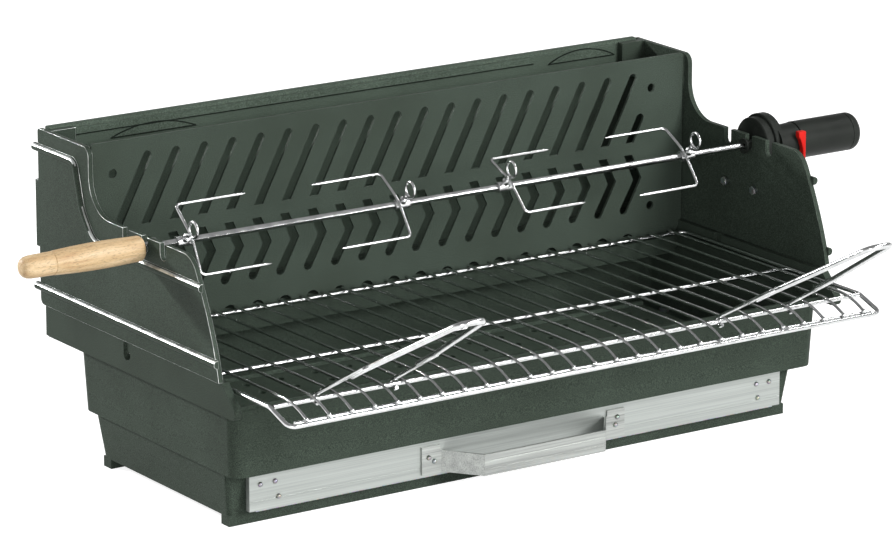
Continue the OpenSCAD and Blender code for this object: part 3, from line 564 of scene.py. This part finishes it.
frame_wire = 4.5
side_x, back_y, bar_z = 344.5, 184, 146
lip_y, lip_z, slope_from = -140, 134.5, -106
ring = bent_wire(
    "grill_ring",
    [(0, back_y, bar_z), (-side_x, back_y, bar_z), (-side_x, slope_from, bar_z), (-side_x, lip_y, lip_z),
     (side_x, lip_y, lip_z), (side_x, slope_from, bar_z), (side_x, back_y, bar_z), (0, back_y, bar_z)],
    (12, 22, 8, 8, 22, 12), frame_wire,
)
lip_end, second_y, second_z = side_x - 9, lip_y + 5.2, lip_z + 1
second = bent_wire("grill_lip", [(x, second_y, second_z) for x in (-lip_end, lip_end)], (), frame_wire)
dress_new(join(ring, second), chrome, "grill", "grill_frame")

rod_end, rear_rod_y, front_rod_y = 341.8, 10, -108
rods = [
    bent_wire("grill_rod", [(-rod_end, y, bar_z), (rod_end, y, bar_z)], (), frame_wire)
    for y in (rear_rod_y, front_rod_y)
]
dress_new(join(*rods), chrome, "grill", "grill_rods")

# The lengthwise wires lie on the rods, run out over the lip in a wide bend
# and end there in a bead of weld.
wire_count, wire_pitch, wire_width, wire_bend = 27, 25, 3, 80
wire_rear, wire_turn, wire_front = 187.5, slope_from - 9, lip_y + 2.5
wire_top = bar_z + frame_wire / 2 + wire_width / 2 + 0.1
lip_top = lip_z + frame_wire / 2 + wire_width / 2 + 0.9
first_wire = bent_wire(
    "grill_wire",
    [(0, wire_rear, wire_top), (0, wire_turn, wire_top), (0, wire_front, lip_top)],
    (wire_bend,), wire_width,
)
bead_radius, bead_y, bead_z = 2.4, lip_y + 2, lip_top - 0.4
bpy.ops.object.select_all(action="DESELECT")
bpy.ops.mesh.primitive_uv_sphere_add(
    segments=12, ring_count=8, radius=bead_radius / 1000, location=(0, bead_y / 1000, bead_z / 1000)
)
bead = bpy.context.object
bpy.ops.object.transform_apply(location=True, rotation=True, scale=True)
bpy.ops.object.shade_smooth()
first_wire = join(first_wire, bead)
row = []
for number in range(wire_count):
    wire_x = (number - (wire_count - 1) / 2) * wire_pitch / 1000
    copy = bpy.data.objects.new("grill_wire", first_wire.data.copy())
    bpy.context.collection.objects.link(copy)
    copy.data.transform(Matrix.Translation((wire_x, 0, 0)))
    row.append(copy)
bpy.data.objects.remove(first_wire)
row = join(*row)
row.name = "grill_wire_row"
dress_new(row, chrome, "grill", "grill_wires")

# ---------------------------------------------------------------- relief shadow lines
# The band and the two arched pads of the back plate's relief are cast with the plate. A thin round
# near-black line laid along their edges is painted shade for the shadow those edges hold.
shadow_line = coated_iron("painted_relief_shadow", (0.010, 0.014, 0.011), (0.014, 0.019, 0.015), 0.5, 0.6)
relief_y, line_width, arch_points = 278.9, 1.3, 17
band_ends, band_z = (-324, 219), 321.8
lines = [bent_wire("band_line", [(x, relief_y, band_z) for x in band_ends], (), line_width)]
for pad_x, foot_z, radius, half_angle in ((-235, 199, 123.7, 23), (280, 243.5, 86, 29)):
    arch = [
        (pad_x + radius * math.sin(a), relief_y, foot_z + radius * math.cos(a))
        for a in [
            math.radians(half_angle * (2 * k / (arch_points - 1) - 1)) for k in range(arch_points)
        ]
    ]
    lines.append(bent_wire("pad_line", arch, (1,) * (arch_points - 2), line_width))
    lines.append(bent_wire("pad_foot", [arch[0], arch[-1]], (), line_width))
relief = join(*lines)
relief.name = "relief_lines"
relief.data.materials.clear()
relief.data.materials.append(shadow_line)
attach(relief, "hearth_unit")

# ---------------------------------------------------------------- grill handles
# Each handle is a hairpin of thick wire, welded to two thinner hooks that
# turn on the front cross rod. It is drawn level over the rod and then raised.
hook_wire, hook_height, hook_bend = 4, 4.45, 4.35
hook_out, hook_tip, tail_out, hook_tail = 43, -3, 40, -90
loop_wire, leg_bend, tip_bend = 6, 60, 11
foot_out, leg_foot, knee_out, leg_knee = 36.3, -60, 34.8, -92
tip_out, handle_reach, handle_rise = 14, -222.9, 29
hook = [(hook_out, hook_tip, -hook_height), (hook_out, hook_height, -hook_height),
        (hook_out, hook_height, hook_height), (tail_out, hook_tail, hook_height)]
leg = [(foot_out, leg_foot, hook_height), (knee_out, leg_knee, hook_height),
       (tip_out, handle_reach, hook_height)]
other_leg = [(-x, y, z) for x, y, z in reversed(leg)]
for side, handle_x in (("left", -252), ("right", 213)):
    on_rod = Matrix.Translation((handle_x / 1000, front_rod_y / 1000, bar_z / 1000))
    raised = on_rod @ Matrix.Rotation(math.radians(-handle_rise), 4, "X")
    pair = [
        bent_wire("handle_hook", [(way * x, y, z) for x, y, z in hook], (hook_bend, hook_bend), hook_wire)
        for way in (-1, 1)
    ]
    hooks = join(*pair)
    hooks.name = side + "_hook_pair"
    hooks.data.transform(raised)
    dress_new(hooks, chrome, "handle_" + side, side + "_handle_hooks")
    loop = bent_wire(
        side + "_hairpin", leg + other_leg, (leg_bend, tip_bend, tip_bend, leg_bend), loop_wire
    )
    loop.data.transform(raised)
    dress_new(loop, chrome, "handle_" + side, side + "_handle_loop")

# ---------------------------------------------------------------- spit
# Square chromed rod with a turned beech grip, its ferrule, and four forks
# that are clamped by eye screws.
spit_y, spit_z = 0.090, 0.256


def turned(name, profile, y, z, sides):
    """A round piece along X at y, z: a disc drawn out through a profile of (x, radius), in mm."""
    (start, radius), *stations = [(x / 1000, r / 1000) for x, r in profile]
    bpy.ops.object.select_all(action="DESELECT")
    bpy.ops.mesh.primitive_circle_add(
        vertices=sides, radius=radius, fill_type="NGON", location=(start, y, z), rotation=(0, math.pi / 2, 0)
    )
    piece = bpy.context.object
    piece.name = name
    bpy.ops.object.mode_set(mode="EDIT")
    bpy.ops.mesh.select_all(action="SELECT")
    for x, wide in stations:
        bpy.ops.mesh.extrude_region_move(TRANSFORM_OT_translate={"value": (x - start, 0, 0)})
        bpy.ops.transform.resize(value=(1, wide / radius, wide / radius), center_override=(x, y, z))
        start, radius = x, wide
    bpy.ops.mesh.select_all(action="SELECT")
    bpy.ops.mesh.normals_make_consistent(inside=False)
    bpy.ops.object.mode_set(mode="OBJECT")
    bpy.ops.object.transform_apply(location=True, rotation=True, scale=True)
    bpy.ops.object.shade_smooth_by_angle(angle=math.radians(32))
    return piece


def turn_about_spit(piece, degrees):
    """Turns a piece about the spit's axis, top to the front, and leaves the turn in its mesh."""
    take(piece)
    bpy.ops.object.mode_set(mode="EDIT")
    bpy.ops.mesh.select_all(action="SELECT")
    bpy.ops.transform.rotate(
        value=math.radians(degrees), orient_axis="X", center_override=(0, spit_y, spit_z)
    )
    bpy.ops.object.mode_set(mode="OBJECT")


# The rod is a 5 mm square bar that stands on its edge, with eased corners and
# a pointed driven end.
rod_from, rod_to, rod_width, rod_turn = -0.463, 0.373, 0.005, 48
point_length, eased_corner = 0.0025, 0.0005
rod_middle = ((rod_from + rod_to) / 2, spit_y, spit_z)
rod = block("spit_bar", rod_middle, (rod_to - rod_from, rod_width, rod_width))
bpy.ops.object.mode_set(mode="EDIT")
bpy.ops.mesh.select_all(action="DESELECT")
bpy.ops.mesh.select_mode(type="FACE")
bpy.ops.object.mode_set(mode="OBJECT")
for face in rod.data.polygons:
    face.select = face.normal.x > 0.9
bpy.ops.object.mode_set(mode="EDIT")
bpy.ops.mesh.extrude_region_move(TRANSFORM_OT_translate={"value": (point_length, 0, 0)})
bpy.ops.transform.resize(value=(1, 0.5, 0.5), center_override=(rod_to, spit_y, spit_z))
bpy.ops.mesh.select_all(action="SELECT")
bpy.ops.mesh.bevel(offset=eased_corner, segments=2)
bpy.ops.object.mode_set(mode="OBJECT")
bpy.ops.object.shade_smooth_by_angle(angle=math.radians(32))
turn_about_spit(rod, rod_turn)
dress_new(rod, bright_chrome, "spit", "spit_rod")

# The ferrule turns in the left notch, between its two collars.
ferrule_shape = [
    (-363, 4), (-363, 7.4), (-362.6, 7.9), (-361.6, 7.9), (-361.2, 7.4), (-361.2, 5.44), (-349.6, 5.44),
    (-349.6, 7.9), (-349.2, 8.3), (-348, 8.3), (-347.6, 7.9), (-347.6, 5.44), (-343.6, 5.44), (-343.2, 5),
    (-343.2, 3),
]
ferrule = turned("spit_bush", ferrule_shape, spit_y, spit_z, 48)
dress_new(ferrule, chrome, "spit", "spit_ferrule")

# Each fork is one wire bent to two prongs, welded across a collar that an
# eye screw clamps. Its arms stand at arm_x, its tips at tip_x.
prong_out, prong_width, prong_point = 37.5, 3.2, 6
arm_over, arm_flat, arm_bend, prong_bend = -6.2, 7, 20, 5
collar_shape = [(-8, 3.2), (-8, 5), (-7.6, 5.4), (7.6, 5.4), (8, 5), (8, 3.2)]
clamp_radius, clamp_height, clamp_out = 0.0037, 0.004, 0.0066
for letter, collar_x, arm_x, tip_x, turn in (
    ("a", -317, -311, -233, 38),
    ("b", -70, -76, -155.5, 47),
    ("c", 51.5, 56.5, 127.7, 57),
    ("d", 275, 269, 196, 51),
):
    wire = bent_wire(
        "fork_wire",
        [(tip_x, 0, -prong_out), (arm_x, 0, -prong_out), (arm_x, arm_over, -arm_flat),
         (arm_x, arm_over, arm_flat), (arm_x, 0, prong_out), (tip_x, 0, prong_out)],
        (prong_bend, arm_bend, arm_bend, prong_bend), prong_width, prong_point,
    )
    wire.data.transform(Matrix.Translation((0, spit_y, spit_z)))
    collar = turned("fork_collar", [(collar_x + x, r) for x, r in collar_shape], spit_y, spit_z, 40)
    bpy.ops.object.select_all(action="DESELECT")
    bpy.ops.mesh.primitive_cylinder_add(
        vertices=32, radius=clamp_radius, depth=clamp_height,
        location=(collar_x / 1000, spit_y - clamp_out, spit_z), rotation=(math.pi / 2, 0, 0),
    )
    clamp = bpy.context.object
    bpy.ops.object.transform_apply(location=True, rotation=True, scale=True)
    bpy.ops.object.shade_smooth_by_angle(angle=math.radians(32))
    fork = join(collar, wire, clamp)
    fork.name = "wire_fork_" + letter
    turn_about_spit(fork, turn)
    dress_new(fork, bright_chrome, "fork_" + letter, "spit_fork_" + letter)
    dress("fork_screw_" + letter, bright_chrome)

# The grip is turned beech with a shallow groove before its rounded end.
beech, beech_shader, beech_place = new_finish("turned_beech", gloss_level=0.35)
rings = noise(beech, beech_place, 1.0, 4.0, (22, 260, 260))
flecks = noise(beech, beech_place, 1.0, 1.0, (260, 1500, 1500))
wood_colour = shades(
    beech, rings, (0.3, (0.50, 0.32, 0.165)), (0.5, (0.60, 0.43, 0.24)), (0.68, (0.69, 0.52, 0.32))
)
fleck_shade = shades(beech, flecks, (0.34, 0.62), (0.44, 1.0))
beech.node_tree.links.new(
    blend(beech, "MULTIPLY", 0.8, wood_colour, fleck_shade), beech_shader.inputs["Base Color"]
)
beech.node_tree.links.new(shades(beech, rings, (0.3, 0.42), (0.7, 0.55)), beech_shader.inputs["Roughness"])
bumps(beech, beech_shader, flecks, 0.2, 0.0002)
grip_foot = -363.4
grip_shape = [
    (0, 8), (0, 10), (0.7, 11.2), (1.8, 12), (3.2, 12.3), (12, 12.5), (25, 12.9), (40, 13.2), (55, 13.2),
    (70, 12.8), (84, 12.2), (94, 11.6), (95.6, 11.4), (96.4, 10.7), (97.2, 11.3), (105, 11.2), (114, 11.2),
    (121, 10.9), (124.5, 10.2), (127, 8.9), (128.8, 7), (129.7, 4.6), (130, 2),
]
grip = turned("turned_grip", [(grip_foot - x, r) for x, r in grip_shape], spit_y, spit_z, 72)
dress_new(grip, beech, "spit", "spit_grip")


# ---------------------------------------------------------------- motor
# Battery motor: moulded gearbox with its driven socket, a tube for the
# battery with a pull-off cap, and a red rocker switch.
def moulded(name, low, high, roughness):
    """Moulded plastic with a fine spark-eroded grain."""
    finish, main, place = new_finish(name, gloss_level=0.12)
    grain = noise(finish, place, 1700, 1.0)
    cloud = noise(finish, place, 30, 3.0)
    finish.node_tree.links.new(shades(finish, cloud, (0.3, low), (0.7, high)), main.inputs["Base Color"])
    finish.node_tree.links.new(
        shades(finish, cloud, (0.3, roughness), (0.7, roughness + 0.1)), main.inputs["Roughness"]
    )
    bumps(finish, main, grain, 0.3, 0.00012)
    return finish


black_plastic = moulded("black_plastic", (0.012, 0.014, 0.012), (0.018, 0.021, 0.018), 0.42)
red_plastic = moulded("red_plastic", (0.50, 0.008, 0.006), (0.66, 0.02, 0.014), 0.36)
dress("drive_socket", black_plastic, 0.3)

# The gearbox is a stepped drum with a neck that leads to the tube.
gear_y, gear_z = 0.100, 0.254
tube_y, tube_z = 0.085, 0.255
drum_shape = [
    (365.6, 20), (365.6, 25.6), (366, 26.4), (366.8, 27), (375.2, 27), (375.2, 29.3), (375.9, 30),
    (384.2, 30), (385.2, 29.6), (385.6, 28.6), (385.6, 20),
]
neck_shape = [
    (380, 10), (380, 18.6), (398, 18.6), (402, 18.9), (404.4, 18.9), (405.2, 18.2), (405.2, 10),
]
drum = turned("gear_drum", drum_shape, gear_y, gear_z, 96)
neck = turned("gear_neck", neck_shape, tube_y, tube_z, 96)
dress_new(join(drum, neck), black_plastic, "hearth_unit", "motor_gearbox")

# The tube is hollow, and the plug of its cap fits into the open end.
tube_shape = [
    (405.6, 12), (405.6, 19), (406.1, 19.5), (471.2, 19.5), (471.6, 19.2), (471.6, 17.4), (466, 17.4),
    (466, 17), (407.8, 17), (407.8, 10),
]
tube = turned("cell_tube", tube_shape, tube_y, tube_z, 96)
dress_new(tube, black_plastic, "hearth_unit", "battery_tube")
round_x, round_r, end_radius = 475.9, 12.5, 7
plug_shape = [
    (470.9, 10), (470.9, 14.5), (466.9, 14.5), (466.9, 16.8), (471.9, 16.8), (471.9, 19.3), (472.2, 19.5),
]
end_shape = [
    (round_x + end_radius * math.sin(a), round_r + end_radius * math.cos(a))
    for a in [math.radians(9 * k) for k in range(11)]
]
cap = turned("tube_cap", [*plug_shape, *end_shape, (482.9, 4)], tube_y, tube_z, 96)
dress_new(cap, black_plastic, "cap", "battery_cap")

# The switch is a moulded rocker that stands on the neck in front, with a
# thumb rest at its top.
rocker_x, rocker_back, rocker_deep = 0.4056, tube_y - 0.0185, 0.0062
rocker_shape = [
    (-0.8, -15), (-3.6, -15), (-4.6, -2), (-7.2, 6), (-9.6, 9.5), (-9.6, 15), (-1.6, 15), (-0.8, 14),
]
bpy.ops.object.select_all(action="DESELECT")
bpy.ops.mesh.primitive_circle_add(vertices=len(rocker_shape), radius=0.01, fill_type="NGON")
rocker = bpy.context.object
rocker.name = "switch_rocker"
for vertex, (x, z) in zip(rocker.data.vertices, rocker_shape):
    vertex.co = (rocker_x + x / 1000, rocker_back, tube_z + z / 1000)
bpy.ops.object.mode_set(mode="EDIT")
bpy.ops.mesh.select_all(action="SELECT")
bpy.ops.mesh.extrude_region_move(TRANSFORM_OT_translate={"value": (0, -rocker_deep, 0)})
bpy.ops.mesh.select_all(action="SELECT")
bpy.ops.mesh.normals_make_consistent(inside=False)
bpy.ops.mesh.bevel(offset=0.0006, segments=3)
bpy.ops.object.mode_set(mode="OBJECT")
bpy.ops.object.shade_smooth_by_angle(angle=math.radians(32))
dress_new(rocker, red_plastic, "switch", "motor_switch")

# The battery in the tube has a printed steel wrap.
cell_wrap, cell_shader, cell_place = new_finish("battery_wrap", metallic=0.3)
cell_cloud = noise(cell_wrap, cell_place, 40, 2.0)
cell_shade = shades(cell_wrap, cell_cloud, (0.3, (0.40, 0.38, 0.34)), (0.7, (0.5, 0.48, 0.44)))
cell_wrap.node_tree.links.new(cell_shade, cell_shader.inputs["Base Color"])
cell_shader.inputs["Roughness"].default_value = 0.4
dress("battery_cell", cell_wrap, 0.3)

bpy.context.scene.view_settings.view_transform = "Standard"
